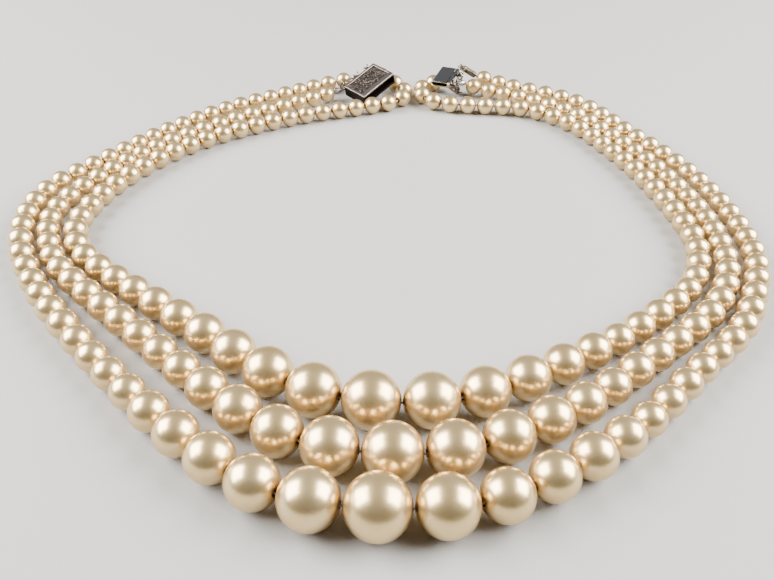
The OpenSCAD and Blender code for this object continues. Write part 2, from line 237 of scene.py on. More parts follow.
@dataclass(frozen=True)
class SilkThread:
    """Twisted silk beading thread, aged to gold beige.

    It gives the eye a soft matt line with slanting plies in the gaps.
    """

    name: str = "silk_thread"
    light: str = "#D6C7A3"
    dark: str = "#9A8660"
    ply_mm: float = 0.35

    def make(self) -> bpy.types.Material:
        """Builds the material.

        Returns:
            The thread with its plies in colour and bump.
        """
        material, tree = blank_material(self.name)
        place = add_node(tree, "ShaderNodeTexCoord").outputs["Object"]
        ply = add_node(tree, "ShaderNodeTexWave", {"bands_direction": "DIAGONAL"}, {
            "Vector": place, "Scale": per_metre(self.ply_mm) / 20, "Distortion": 1.5, "Detail": 2.0})
        shade = add_node(tree, "ShaderNodeValToRGB", inputs={"Fac": ply.outputs["Fac"]}, stops=[
            (0.0, self.dark), (1.0, self.light)])
        bump = add_node(tree, "ShaderNodeBump", inputs={
            "Strength": 0.6, "Distance": 0.05 * MM, "Height": ply.outputs["Fac"]})
        surface = add_node(tree, "ShaderNodeBsdfPrincipled", inputs={
            "Base Color": shade.outputs["Color"], "Roughness": 0.7, "Sheen Weight": 0.4,
            "Normal": bump.outputs[0]})
        close_material(tree, surface)
        return material


@dataclass(frozen=True)
class SilverPlate:
    """Drawn or rolled silver that has dulled in patches.

    It gives the eye bright rubbed places, brown grey dull ones and fine
    scratches along the way that it was drawn. The real scratches are about
    0.02 mm wide, too fine to show, and are drawn coarser.
    """

    name: str = "silver_wire"
    bright: str = "#A59A90"
    dull: str = "#3E3631"
    dull_share: float = 0.55
    patch_mm: float = 1.6
    scratch_mm: float = 0.25
    stretch: tuple[float, float, float] = (1.0, 1.0, 1.0)
    patch_edge: tuple[float, float] = (0.12, 0.16)
    roughness: tuple[float, float] = (0.14, 0.42)
    bump_mm: float = 0.006

    def make(self) -> bpy.types.Material:
        """Builds the material.

        Returns:
            The metal with dull patches and fine scratches.
        """
        material, tree = blank_material(self.name)
        place = add_node(tree, "ShaderNodeTexCoord").outputs["Object"]
        patch = add_node(tree, "ShaderNodeTexNoise", inputs={
            "Vector": place, "Scale": per_metre(self.patch_mm), "Detail": 5.0, "Roughness": 0.6})
        dulled = add_node(tree, "ShaderNodeMapRange", inputs={
            "Value": patch.outputs["Fac"], "From Min": 1 - self.dull_share - self.patch_edge[0],
            "From Max": 1 - self.dull_share + self.patch_edge[1]})
        colour = add_node(tree, "ShaderNodeMix", {"data_type": "RGBA"}, {
            "Factor": dulled.outputs[0], 6: to_linear(self.bright), 7: to_linear(self.dull)})
        drawn = add_node(tree, "ShaderNodeMapping", inputs={"Vector": place, "Scale": self.stretch})
        scratch = add_node(tree, "ShaderNodeTexNoise", inputs={
            "Vector": drawn.outputs[0], "Scale": per_metre(self.scratch_mm), "Detail": 3.0})
        gloss = add_node(tree, "ShaderNodeMapRange", inputs={
            "Value": patch.outputs["Fac"], "From Min": 0.3, "From Max": 0.7,
            "To Min": self.roughness[0], "To Max": self.roughness[1]})
        bump = add_node(tree, "ShaderNodeBump", inputs={
            "Strength": 0.5, "Distance": self.bump_mm * MM, "Height": scratch.outputs["Fac"]})
        surface = add_node(tree, "ShaderNodeBsdfPrincipled", inputs={
            "Base Color": colour.outputs[2], "Metallic": 1.0, "Roughness": gloss.outputs[0],
            "Normal": bump.outputs[0]})
        close_material(tree, surface)
        return material


@dataclass(frozen=True)
class TarnishedSilverSideShade:
    """Stamped silver with black tarnish in its hollows and rubbed high parts.

    It gives the eye a dark ground under a paler pinkish grey pattern. The
    height over the lid, made uneven by specks, decides how far the tarnish has
    gone: it is full up to low_mm and rubbed away from high_mm. Below the lid the
    walls take the near-black side colour: part tarnish, part painted shade on
    the box's shaded sides.
    """

    name: str = "tarnished_silver_side_shade"
    high: str = "#A0948B"
    low: str = "#3A302D"
    # Near black for the walls below the lid: part tarnish, part painted shade.
    side: str = "#211C19"
    speck_mm: float = 0.5
    stipple_mm: float = 0.32
    uneven_mm: float = 0.6
    low_mm: float = 0.05
    high_mm: float = 0.6

    def make(self, lid: Matrix) -> bpy.types.Material:
        """Builds the material.

        Args:
            lid: The place of the lid's top face, with its normal as the z axis.

        Returns:
            The metal, shaded by height over the lid.
        """
        material, tree = blank_material(self.name)
        normal = lid.to_3x3().col[2].normalized()
        place = add_node(tree, "ShaderNodeTexCoord").outputs["Object"]
        off = add_node(tree, "ShaderNodeVectorMath", {"operation": "SUBTRACT"}, {
            0: place, 1: tuple(lid.translation)})
        height = add_node(tree, "ShaderNodeVectorMath", {"operation": "DOT_PRODUCT"}, {
            0: off.outputs[0], 1: tuple(normal)})
        speck = add_node(tree, "ShaderNodeTexNoise", inputs={
            "Vector": place, "Scale": per_metre(self.speck_mm), "Detail": 4.0, "Roughness": 0.65})
        uneven = add_node(tree, "ShaderNodeMath", {"operation": "MULTIPLY_ADD"}, {
            0: speck.outputs["Fac"], 1: self.uneven_mm * MM, 2: height.outputs["Value"]})
        rubbed = add_node(tree, "ShaderNodeMapRange", inputs={
            "Value": uneven.outputs[0], "From Min": self.low_mm * MM, "From Max": self.high_mm * MM})
        # The foot of the ramp turns the walls below the lid near black: painted shade on the box's sides,
        # with tarnish.
        colour = add_node(tree, "ShaderNodeValToRGB", inputs={"Fac": rubbed.outputs[0]}, stops=[
            (0.0, self.side), (0.36, self.low), (0.95, self.high)])
        gloss = add_node(tree, "ShaderNodeMapRange", inputs={
            "Value": rubbed.outputs[0], "To Min": 0.6, "To Max": 0.3})
        stipple = add_node(tree, "ShaderNodeTexVoronoi", inputs={
            "Vector": place, "Scale": per_metre(self.stipple_mm)})
        bump = add_node(tree, "ShaderNodeBump", inputs={
            "Strength": 0.6, "Distance": 0.04 * MM, "Height": stipple.outputs["Distance"]})
        surface = add_node(tree, "ShaderNodeBsdfPrincipled", inputs={
            "Base Color": colour.outputs["Color"], "Metallic": 1.0, "Roughness": gloss.outputs[0],
            "Normal": bump.outputs[0]})
        close_material(tree, surface)
        return material


@dataclass(frozen=True)
class MattPaper:
    """Plain pale backdrop paper with a faint tooth, which gives the eye an even matt ground."""

    name: str = "matt_paper"
    colour: str = "#A9A6A2"
    shade: str = "#A19E99"
    tooth_mm: float = 0.4

    def make(self) -> bpy.types.Material:
        """Builds the material.

        Returns:
            The paper.
        """
        material, tree = blank_material(self.name)
        place = add_node(tree, "ShaderNodeTexCoord").outputs["Object"]
        tooth = add_node(tree, "ShaderNodeTexNoise", inputs={
            "Vector": place, "Scale": per_metre(self.tooth_mm), "Detail": 4.0})
        colour = add_node(tree, "ShaderNodeMix", {"data_type": "RGBA"}, {
            "Factor": tooth.outputs["Fac"], 6: to_linear(self.colour), 7: to_linear(self.shade)})
        bump = add_node(tree, "ShaderNodeBump", inputs={
            "Strength": 0.15, "Distance": 0.02 * MM, "Height": tooth.outputs["Fac"]})
        surface = add_node(tree, "ShaderNodeBsdfPrincipled", inputs={
            "Base Color": colour.outputs[2], "Roughness": 0.85, "Normal": bump.outputs[0]})
        close_material(tree, surface)
        return material


@dataclass
class Shape:
    """Points and faces of a mesh in the making, with numbers for each point."""

    points: list[np.ndarray] = field(default_factory=list)
    faces: list[tuple[int, ...]] = field(default_factory=list)
    marks: dict[str, list[np.ndarray]] = field(default_factory=dict)
    count: int = 0

    def add(
        self,
        points: np.ndarray,
        faces: Iterable[tuple[int, ...]],
        marks: dict[str, np.ndarray] | None = None,
    ) -> None:
        """Adds one more loose part.

        Args:
            points: Its points, a row each, in metres.
            faces: Its faces as indices into those points.
            marks: One number for each point, by attribute name.
        """
        start = self.count
        self.points.append(points)
        self.faces.extend(tuple(i + start for i in face) for face in faces)
        for name, values in (marks or {}).items():
            self.marks.setdefault(name, []).append(values)
        self.count += len(points)

    def piece(self, name: str, material: bpy.types.Material, slot: str) -> bpy.types.Object:
        """Makes the mesh object and puts it on the necklace's body.

        Args:
            name: The piece's name.
            material: Its finish.
            slot: The record's material slot; not used.

        Returns:
            The object, shaded smooth.
        """
        mesh = bpy.data.meshes.new(name)
        mesh.from_pydata(np.concatenate(self.points).tolist(), [], self.faces)
        for mark, values in self.marks.items():
            layer = mesh.attributes.new(mark, "FLOAT", "POINT")
            layer.data.foreach_set("value", np.concatenate(values).astype(np.float32))
        mesh.shade_smooth()
        mesh.materials.append(material)
        piece = bpy.data.objects.new(name, mesh)
        bpy.context.scene.collection.objects.link(piece)
        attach(piece, "root")
        return piece


def across(axis: np.ndarray) -> tuple[np.ndarray, np.ndarray]:
    """Two unit vectors square to an axis and to each other.

    Args:
        axis: A unit vector.

    Returns:
        The two vectors.
    """
    helper = np.array([0.0, 0.0, 1.0]) if abs(axis[2]) < 0.9 else np.array([1.0, 0.0, 0.0])
    first = np.cross(helper, axis)
    first /= np.linalg.norm(first)
    return first, np.cross(axis, first)


def revolve(
    profile: Sequence[tuple[float, float]],
    origin: np.ndarray,
    axis: np.ndarray,
    sides: int,
    closed: bool = False,
    spin: float = 0.0,
) -> tuple[np.ndarray, list[tuple[int, ...]]]:
    """Turns a profile round an axis.

    Args:
        profile: Distance along the axis and from the axis, in metres.
        origin: Where the distance along the axis is nothing.
        axis: Unit vector.
        sides: Number of steps round the axis.
        closed: Whether the last profile point joins the first.
        spin: Turn of the whole mesh about the axis.

    Returns:
        Points and faces.
    """
    first, second = across(axis)
    angles = spin + np.arange(sides) * 2 * math.pi / sides
    ring = np.outer(np.cos(angles), first) + np.outer(np.sin(angles), second)
    points = np.concatenate([origin + along * axis + out * ring for along, out in profile])
    rows = len(profile)
    faces = []
    for i in range(rows if closed else rows - 1):
        a, b = i * sides, (i + 1) % rows * sides
        faces += [(a + j, a + (j + 1) % sides, b + (j + 1) % sides, b + j) for j in range(sides)]
    if not closed:
        faces.append(tuple(reversed(range(sides))))
        faces.append(tuple(range((rows - 1) * sides, rows * sides)))
    return points, faces


def sweep(
    path: np.ndarray,
    radii: Sequence[float] | float,
    sides: int = 16,
    closed: bool = False,
    flatten: tuple[np.ndarray, float] | None = None,
) -> tuple[np.ndarray, list[tuple[int, ...]]]:
    """Runs a round section along a path without twisting it.

    Args:
        path: Points of the path, in metres.
        radii: Radius at each point, or one for all.
        sides: Points round the section.
        closed: Whether the path is a ring.
        flatten: A unit vector, and the share of the section's size kept along it.

    Returns:
        Points and faces.
    """
    count = len(path)
    size = np.broadcast_to(np.asarray(radii, float), (count,))
    if closed:
        ways = np.roll(path, -1, 0) - np.roll(path, 1, 0)
    else:
        ways = np.gradient(path, axis=0)
    ways /= np.linalg.norm(ways, axis=1)[:, None]
    side, _ = across(ways[0])
    angles = np.arange(sides) * 2 * math.pi / sides
    rings = []
    for point, way, radius in zip(path, ways, size):
        side = side - way * (side @ way)
        side /= np.linalg.norm(side)
        section = np.outer(np.cos(angles), side) + np.outer(np.sin(angles), np.cross(way, side))
        if flatten is not None:
            section -= np.outer(section @ flatten[0], flatten[0]) * (1 - flatten[1])
        rings.append(point + radius * section)
    faces = []
    for i in range(count if closed else count - 1):
        a, b = i * sides, (i + 1) % count * sides
        faces += [(a + j, a + (j + 1) % sides, b + (j + 1) % sides, b + j) for j in range(sides)]
    if not closed:
        faces.append(tuple(reversed(range(sides))))
        faces.append(tuple(range((count - 1) * sides, count * sides)))
    return np.concatenate(rings), faces


def circle_path(
    centre: np.ndarray, axis: np.ndarray, radius: float, steps: int = 48
) -> np.ndarray:
    """Points of a circle.

    Args:
        centre: Its middle.
        axis: Unit vector square to its plane.
        radius: Its radius in metres.
        steps: Number of points.

    Returns:
        The points in order.
    """
    first, second = across(axis)
    angles = np.arange(steps) * 2 * math.pi / steps
    return centre + radius * (np.outer(np.cos(angles), first) + np.outer(np.sin(angles), second))


def node_points(node: bpy.types.Object) -> np.ndarray:
    """Reads the vertices of a CAD node.

    Args:
        node: The node's object.

    Returns:
        The vertices, a row each, in metres.
    """
    flat = np.zeros(len(node.data.vertices) * 3, np.float32)
    node.data.vertices.foreach_get("co", flat)
    return flat.reshape(-1, 3).astype(float)


@dataclass(frozen=True)
class Bead:
    """One drilled bead of the CAD model: its middle, radius and hole axis."""

    centre: np.ndarray
    radius: float
    axis: np.ndarray


def find_beads(node: bpy.types.Object) -> list[Bead]:
    """Reads every bead of a CAD node from its mesh.

    Args:
        node: A node of one bead or of many loose ones.

    Returns:
        The beads in no special order.
    """
    points = node_points(node)
    node.data.calc_loop_triangles()
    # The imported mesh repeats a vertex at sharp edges, so vertices at one place share a spot.
    corners = np.array([t.vertices[:] for t in node.data.loop_triangles])
    _, spot = np.unique(np.round(points / (0.001 * MM)).astype(np.int64), axis=0, return_inverse=True)
    spot = spot.reshape(-1)
    tris = spot[corners]
    # The lowest label spreads over each bead until every spot of a bead has it.
    label = np.arange(spot.max() + 1)
    while True:
        lowest = label[tris].min(axis=1)
        spread = label.copy()
        for k in range(3):
            np.minimum.at(spread, tris[:, k], lowest)
        if (spread == label).all():
            break
        label = spread
    beads = []
    for island in np.unique(label[tris[:, 0]]):
        faces = corners[label[tris[:, 0]] == island]
        own = points[np.unique(faces)]
        # All vertices lie on the ball, also the hole's, which are at its two mouths.
        fit = np.linalg.lstsq(
            np.column_stack([2 * own, np.ones(len(own))]), (own ** 2).sum(1), rcond=None)[0]
        centre = fit[:3]
        radius = math.sqrt(fit[3] + centre @ centre)
        a, b, c = (points[faces[:, k]] for k in range(3))
        # Only the hole's wall faces the middle, and the hole runs square to all of its normals.
        normal = np.cross(b - a, c - a)
        wall = ((a + b + c) / 3 - centre) * normal
        inside = normal[wall.sum(1) < 0]
        axis = np.linalg.eigh(inside.T @ inside)[1][:, 0]
        beads.append(Bead(centre, radius, axis))
    return beads


@dataclass
class Strand:
    """One row of graduated pearls with the thread that runs through it.

    The size of each hole, its soft edge and the brown rim round it are in
    millimetres. oval is the most by which a bead is flatter along its hole. A
    bead's tone is its place in the lacquer's range of colours.
    """

    row: Row
    nodes: dict[str, bpy.types.Object]
    coat: bpy.types.Material
    silk: bpy.types.Material
    large_steps: int = 4
    hole_mm: float = 1.0
    edge_mm: float = 0.14
    rim_mm: float = 0.55
    oval: float = 0.004
    tone: float = 0.3
    tone_spread: float = 0.05
    tone_limit: float = 1.6
    seed: int = FIRST_SEED

    def build(self) -> list[bpy.types.Object]:
        """Builds every bead of the row and dresses its thread.

        Returns:
            The pieces, which stand for the row's pearl and string nodes.
        """
        chance = random.Random(self.seed)
        pieces = []
        for step in range(-self.large_steps, self.large_steps + 1):
            arm = "l" if step < 0 else "r" if step > 0 else ""
            node = f"pearl_{self.row.value}_{arm}{abs(step)}"
            pieces.append(self.bead_piece(node, chance, sides=64, steps=40))
        for side in Side:
            node = f"string_{self.row.value}_{side.value}"
            pieces.append(self.bead_piece(node, chance, sides=40, steps=24))
        thread = self.nodes[f"thread_{self.row.value}"]
        thread.data.materials.clear()
        thread.data.materials.append(self.silk)
        return pieces

    def bead_piece(
        self, node: str, chance: random.Random, sides: int, steps: int
    ) -> bpy.types.Object:
        """Builds the beads of one node as one piece.

        Args:
            node: The node that the piece stands for.
            chance: The row's seeded random numbers.
            sides: Steps round a bead.
            steps: Steps from hole to hole.

        Returns:
            The piece.
        """
        shape = Shape()
        for bead in find_beads(self.nodes[node]):
            profile = self.profile(bead.radius, steps)
            points, faces = revolve(
                profile, bead.centre, bead.axis, sides, closed=True,
                spin=chance.uniform(0, 2 * math.pi))
            squeeze = 1 - self.oval * chance.random()
            along = (points - bead.centre) @ bead.axis
            points -= np.outer(along * (1 - squeeze), bead.axis)
            out = np.repeat([r for _, r in profile], sides)
            rim = 1 - (out / MM - self.hole_mm / 2) / self.rim_mm
            shift = max(-self.tone_limit, min(self.tone_limit, chance.gauss(0, 1)))
            tone = self.tone + self.tone_spread * shift
            shape.add(points, faces, {
                "bead_tone": np.full(len(points), tone), "bead_rim": np.clip(rim, 0, 1)})
        piece = shape.piece(f"{node}_lacquered", self.coat, "pearl")
        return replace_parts(piece, node)

    def profile(self, radius: float, steps: int) -> list[tuple[float, float]]:
        """The outline of half a bead: round skin, soft hole edges and straight hole.

        Args:
            radius: The bead's radius in metres.
            steps: Steps of the round skin.

        Returns:
            Distance along and from the hole's axis.
        """
        hole = self.hole_mm * MM / 2
        edge = self.edge_mm * MM
        first = math.asin((hole + edge) / radius)
        skin = [first + (math.pi - 2 * first) * i / steps for i in range(steps + 1)]
        outline = [(radius * math.cos(a), radius * math.sin(a)) for a in skin]
        mouth = radius * math.cos(first)
        fillet = [(mouth - edge * (1 - math.cos(a)) - 0.02 * MM, hole + edge * (1 - math.sin(a)))
                  for a in (math.radians(25), math.radians(55), math.radians(90))]
        bore = [(mouth * share, hole) for share in (0.55, 0.0, -0.55)]
        return outline + [(-x, r) for x, r in fillet] + [(-x, r) for x, r in bore] + fillet[::-1]


@dataclass
class StrandEnd:
    """The fittings at one end of a strand: tip with its eye, and the long link.

    The last seven fields are worked out from the link and thread nodes: the
    link's broad side, the middles of eye and loop, the radius of the link's
    bends, the tip's way and start, and its length up to the eye.
    """

    row: Row
    side: Side
    nodes: dict[str, bpy.types.Object]
    wire: bpy.types.Material
    cap: bpy.types.Material
    shape: TipShape = TipShape.BALL
    link_wire_mm: float = 0.4
    eye_r_mm: float = 0.65
    eye_wire_mm: float = 0.5
    loop_r_mm: float = 0.85
    tip_r_mm: float = 0.8
    thread_in_mm: float = 1.2
    clear_mm: float = 0.3
    bore_mm: float = 0.42
    bore_depth_mm: float = 1.2
    facing: np.ndarray = field(init=False)
    eye: np.ndarray = field(init=False)
    loop: np.ndarray = field(init=False)
    link_r: float = field(init=False)
    way: np.ndarray = field(init=False)
    start: np.ndarray = field(init=False)
    reach: float = field(init=False)

    def read(self) -> None:
        """Works out from the link and thread nodes where the eye, loop and last pearl are."""
        link = node_points(self.nodes[f"link_{self.row.value}_{self.side.value}"])
        thread = node_points(self.nodes[f"thread_{self.row.value}"])
        centre = (link.max(0) + link.min(0)) / 2
        axes = np.linalg.eigh((link - centre).T @ (link - centre))[1]
        span, self.facing = axes[:, 2], axes[:, 1]
        half = np.abs((link - centre) @ span).max() - self.link_wire_mm * MM / 2
        ends = [centre - half * span, centre + half * span]
        near = [np.linalg.norm(thread - end, axis=1).min() for end in ends]
        self.eye, self.loop = ends if near[0] < near[1] else ends[::-1]
        self.link_r = np.abs((link - centre) @ self.facing).max() - self.link_wire_mm * MM / 2
        reach = np.linalg.norm(thread - self.eye, axis=1)
        inside = thread[reach < reach.min() + 0.02 * MM].mean(0)
        self.way = (self.eye - inside) / np.linalg.norm(self.eye - inside)
        self.start = inside - self.way * self.thread_in_mm * MM
        self.reach = float(np.linalg.norm(self.eye - self.start))

    def build(self) -> list[bpy.types.Object]:
        """Builds the tip and the link.

        Returns:
            The two pieces, which stand for their nodes.
        """
        self.read()
        return [self.tip(), self.link()]

    def link(self) -> bpy.types.Object:
        """Builds the long link as one wire bent round the eye and the loop.

        Returns:
            The piece, which stands for its node.
        """
        name = f"link_{self.row.value}_{self.side.value}"
        span = (self.loop - self.eye) / np.linalg.norm(self.loop - self.eye)
        middle = (self.loop + self.eye) / 2
        half = np.linalg.norm(self.loop - self.eye) / 2 - self.link_r
        turns = np.linspace(-math.pi / 2, math.pi / 2, 25)
        bend = np.outer(np.cos(turns), span) + np.outer(np.sin(turns), self.facing)
        straight = np.linspace(-half, half, 14)[1:-1]
        path = np.concatenate([
            middle + half * span + self.link_r * bend,
            middle - np.outer(straight, span) + self.link_r * self.facing,
            middle - half * span - self.link_r * bend,
            middle + np.outer(straight, span) - self.link_r * self.facing])
        shape = Shape()
        shape.add(*sweep(path, self.link_wire_mm * MM / 2, sides=18, closed=True))
        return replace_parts(shape.piece(f"{name}_wire", self.wire, "silver_fitting"), name)

    def tip(self) -> bpy.types.Object:
        """Builds the tip in its own form, with its eye.

        Returns:
            The piece, which stands for its node.
        """
        name = f"tip_{self.row.value}_{self.side.value}"
        shape = Shape()
        shape.add(*revolve(self.tip_profile(), self.start, self.way, 40, closed=True))
        ring = circle_path(self.eye, self.facing, self.eye_r_mm * MM)
        shape.add(*sweep(ring, self.eye_wire_mm * MM / 2, sides=18, closed=True))
        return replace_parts(shape.piece(f"{name}_{self.shape.value}", self.cap, "silver_fitting"), name)

    def tip_profile(self) -> list[tuple[float, float]]:
        """The tip's outline along its axis, from the hole at the pearl to the eye.

        Returns:
            Distance along and from the axis, in metres, closed through the hole.
        """
        first = self.clear_mm
        last = self.reach / MM - self.eye_r_mm + 0.1
        makers: dict[TipShape, Callable[[float, float], list[tuple[float, float]]]] = {
            TipShape.BALL: self.ball, TipShape.BELL: self.bell, TipShape.COIL: self.coil}
        skin = makers[self.shape](first, last)
        floor = first + self.bore_depth_mm
        inside = [(last - 0.02, 0.01), (floor, 0.01), (floor, self.bore_mm), (first + 0.05, self.bore_mm)]
        return [(x * MM, r * MM) for x, r in skin + inside]

    def ball(self, first: float, last: float) -> list[tuple[float, float]]:
        """A round bead tip with a fine seam round its middle.

        Args:
            first: Where the tip starts along its axis, in millimetres.
            last: Where it ends.

        Returns:
            Distance along and from the axis, in millimetres.
        """
        half = (last - first) / 2
        outline = []
        for i in range(33):
            a = math.radians(32) + (math.pi - math.radians(40)) * i / 32
            seam = 0.05 * math.exp(-((a - math.pi / 2) / 0.09) ** 2)
            outline.append((first + half * (1 - math.cos(a)), (self.tip_r_mm - seam) * math.sin(a)))
        return outline

    def bell(self, first: float, last: float) -> list[tuple[float, float]]:
        """A cap that is wide and rolled at the pearl and narrows to the eye.

        Args:
            first: Where the tip starts along its axis, in millimetres.
            last: Where it ends.

        Returns:
            Distance along and from the axis, in millimetres.
        """
        wide = self.tip_r_mm + 0.15
        outline = [(first + 0.06, wide - 0.12), (first - 0.02, wide - 0.04), (first + 0.06, wide)]
        for i in range(1, 21):
            share = i / 20
            drop = share ** 1.5
            outline.append((first + 0.1 + (last - first - 0.1) * share, wide * (1 - drop) + 0.3 * drop))
        return outline

    def coil(self, first: float, last: float) -> list[tuple[float, float]]:
        """A tube of close wire turns, rounded at both ends.

        Args:
            first: Where the tip starts along its axis, in millimetres.
            last: Where it ends.

        Returns:
            Distance along and from the axis, in millimetres.
        """
        pitch = 0.42
        outline = []
        steps = int((last - first) / pitch * 8)
        for i in range(steps + 1):
            x = first + (last - first) * i / steps
            ends = min(1.0, math.sqrt(max(0.0, min(x - first, last - x) + 0.12) / 0.55))
            turn = abs(math.sin(math.pi * (x - first) / pitch))
            outline.append((x, max(0.45, (self.tip_r_mm - 0.02 + 0.14 * turn) * ends)))
        return outline


@dataclass
class ClaspHalf:
    """What both halves of the clasp share: a place, and three wire loops."""

    node: str
    ends: list[StrandEnd]
    at_mm: tuple[float, float, float]
    turn_deg: tuple[float, float, float]
    slot: str

    @property
    def place(self) -> Matrix:
        """The half's own frame.

        Returns:
            Its place, with x across the strands, y away from the strands on the
            box and towards them on the tongue, and z up.
        """
        a, b, c = (math.radians(t) for t in self.turn_deg)
        turn = Matrix.Rotation(c, 4, "Z") @ Matrix.Rotation(b, 4, "Y") @ Matrix.Rotation(a, 4, "X")
        return Matrix.Translation(Vector(self.at_mm) * MM) @ turn

    def placed(self, points: np.ndarray) -> np.ndarray:
        """Points of the half's own frame, in millimetres, put in place in metres.

        Args:
            points: A row for each point.

        Returns:
            The points in the necklace's frame.
        """
        frame = np.array(self.place)
        return (points * MM) @ frame[:3, :3].T + frame[:3, 3]

    def loops(self, material: bpy.types.Material) -> bpy.types.Object:
        """Builds the three loops, soldered into the half's edge.

        Args:
            material: Their finish.

        Returns:
            The piece.
        """
        shape = Shape()
        for end in self.ends:
            ring = circle_path(end.loop, end.facing, end.loop_r_mm * MM)
            shape.add(*sweep(ring, end.eye_wire_mm * MM / 2, sides=18, closed=True))
        return shape.piece(f"{self.node}_loops", material, self.slot)

    def soften(self, piece: bpy.types.Object, width_mm: float) -> None:
        """Rounds the sharp edges of a piece.

        Args:
            piece: The piece.
            width_mm: Width of the rounding.
        """
        bevel = piece.modifiers.new("rounded_edges", "BEVEL")
        bevel.width = width_mm * MM
        bevel.segments = 3
        bevel.limit_method = "ANGLE"
        bevel.angle_limit = math.radians(35)
        bevel.harden_normals = True


@dataclass
class ClaspBox(ClaspHalf):
    """The box half: thin walls, open mouth, and a lid with raised scroll work.

    Sizes are in millimetres. A scroll is given by its middle across and along
    the lid, its first turn in degrees and its size. A flower is given by its
    middle, its number of petals, how far they stand out and their size.
    """

    width: float = 12.0
    length: float = 8.0
    height: float = 3.0
    wall: float = 0.5
    rim: float = 0.7
    band: float = 1.5
    relief: float = 0.3
    scrolls: tuple[tuple[float, float, float, float], ...] = (
        (-3.6, -2.2, 20, 0.95), (-1.1, -2.1, 160, 0.95), (-1.4, 1.4, -60, 0.95),
        (1.6, 1.6, 100, 0.95), (3.9, 1.3, 200, 0.95), (4.1, -1.3, 300, 0.95),
        (2.2, -2.3, 60, 0.95), (-4.4, 1.5, 250, 0.6), (0.1, 0.6, 30, 0.6),
        (0.2, -0.9, 210, 0.55), (5.0, -2.6, 120, 0.5), (-2.4, 0.0, 140, 0.55))
    flowers: tuple[tuple[float, float, int, float, float], ...] = (
        (1.4, -0.4, 4, 0.78, 0.5), (-3.7, 0.1, 5, 0.66, 0.34))
    scroll_turn_deg: float = 430.0

    def build(
        self, sheet: bpy.types.Material, relief: bpy.types.Material, wire: bpy.types.Material
    ) -> list[bpy.types.Object]:
        """Builds the shell, its ornament and its loops.

        Args:
            sheet: Finish of the shell and its rim, which hands rub bright, with painted shade on the
                shell's walls.
            relief: Finish of the scroll work, where the tarnish stays.
            wire: Finish of the loops.

        Returns:
            The pieces. The shell stands for the node.
        """
        body = self.shell(sheet)
        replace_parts(body, self.node)
        return [body, self.frame(sheet), self.ornament(relief), self.loops(wire)]

    def shell(self, material: bpy.types.Material) -> bpy.types.Object:
        """Builds the box as bent sheet, open at its mouth.

        Args:
            material: Its finish.

        Returns:
            The piece.
        """
        x, y, z, t = self.width / 2, self.length / 2, self.height, self.wall
        outer = [(sx * x, sy * y, sz) for sz in (-z, 0) for sy in (-1, 1) for sx in (-1, 1)]
        inner = [(sx * (x - t), yy, sz) for sz in (-z + t, -t) for yy in (-y + t, y) for sx in (-1, 1)]
        # Corners 0 to 7 are the outside, 8 to 15 the inside. The last four faces are the mouth's edge.
        faces = [(0, 2, 3, 1), (4, 5, 7, 6), (0, 1, 5, 4), (0, 4, 6, 2), (1, 3, 7, 5),
                 (8, 9, 11, 10), (12, 14, 15, 13), (8, 12, 13, 9), (8, 10, 14, 12), (9, 13, 15, 11),
                 (2, 10, 11, 3), (3, 11, 15, 7), (7, 15, 14, 6), (6, 14, 10, 2)]
        shape = Shape()
        shape.add(self.placed(np.array(outer + inner)), faces)
        piece = shape.piece(f"{self.node}_shell", material, self.slot)
        self.soften(piece, 0.16)
        return piece

    def frame(self, material: bpy.types.Material) -> bpy.types.Object:
        """Builds the raised rim and the plain band along the mouth.

        Args:
            material: Its finish.

        Returns:
            The piece.
        """
        x, y = self.width / 2, self.length / 2
        low, high = -0.1, self.relief
        inner = [(-x + self.rim, -y + self.rim), (x - self.rim, -y + self.rim),
                 (x - self.rim, y - self.band), (-x + self.rim, y - self.band)]
        outer = [(-x + 0.03, -y + 0.03), (x - 0.03, -y + 0.03), (x - 0.03, y - 0.03), (-x + 0.03, y - 0.03)]
        points = [(a, b, z) for z in (low, high) for a, b in outer + inner]
        faces = []
        for i in range(4):
            j = (i + 1) % 4
            faces += [(i, j, j + 8, i + 8), (i + 4, i + 12, j + 12, j + 4),
                      (i + 8, j + 8, j + 12, i + 12), (i, i + 4, j + 4, j)]
        shape = Shape()
        shape.add(self.placed(np.array(points)), faces)
        piece = shape.piece(f"{self.node}_frame", material, self.slot)
        self.soften(piece, 0.12)
        return piece

    def ornament(self, material: bpy.types.Material) -> bpy.types.Object:
        """Builds the scrolls and the two flowers inside the rim.

        Args:
            material: Its finish.

        Returns:
            The piece.
        """
        shape = Shape()
        up = np.array(self.place)[:3, 2]
        for x, y, turn, size in self.scrolls:
            steps = np.linspace(0, 1, 40)
            angle = math.radians(turn) + steps * math.radians(self.scroll_turn_deg)
            out = size * (1 - 0.72 * steps)
            path = np.column_stack([
                x + out * np.cos(angle), y + out * np.sin(angle), np.full(40, 0.06)])
            width = (0.1 + 0.12 * np.sin(math.pi * np.clip(steps * 0.8 + 0.1, 0, 1))) * MM
            shape.add(*sweep(self.placed(path), width, sides=12, flatten=(up, 0.95)))
            self.dome(shape, path[-1, 0], path[-1, 1], 0.22, 0.3)
        for x, y, petals, ring, petal in self.flowers:
            self.dome(shape, x, y, 0.34, 0.42)
            for k in range(petals):
                a = math.radians(45) + k * 2 * math.pi / petals
                self.dome(shape, x + ring * math.cos(a), y + ring * math.sin(a), petal, 0.34)
        return shape.piece(f"{self.node}_ornament", material, self.slot)

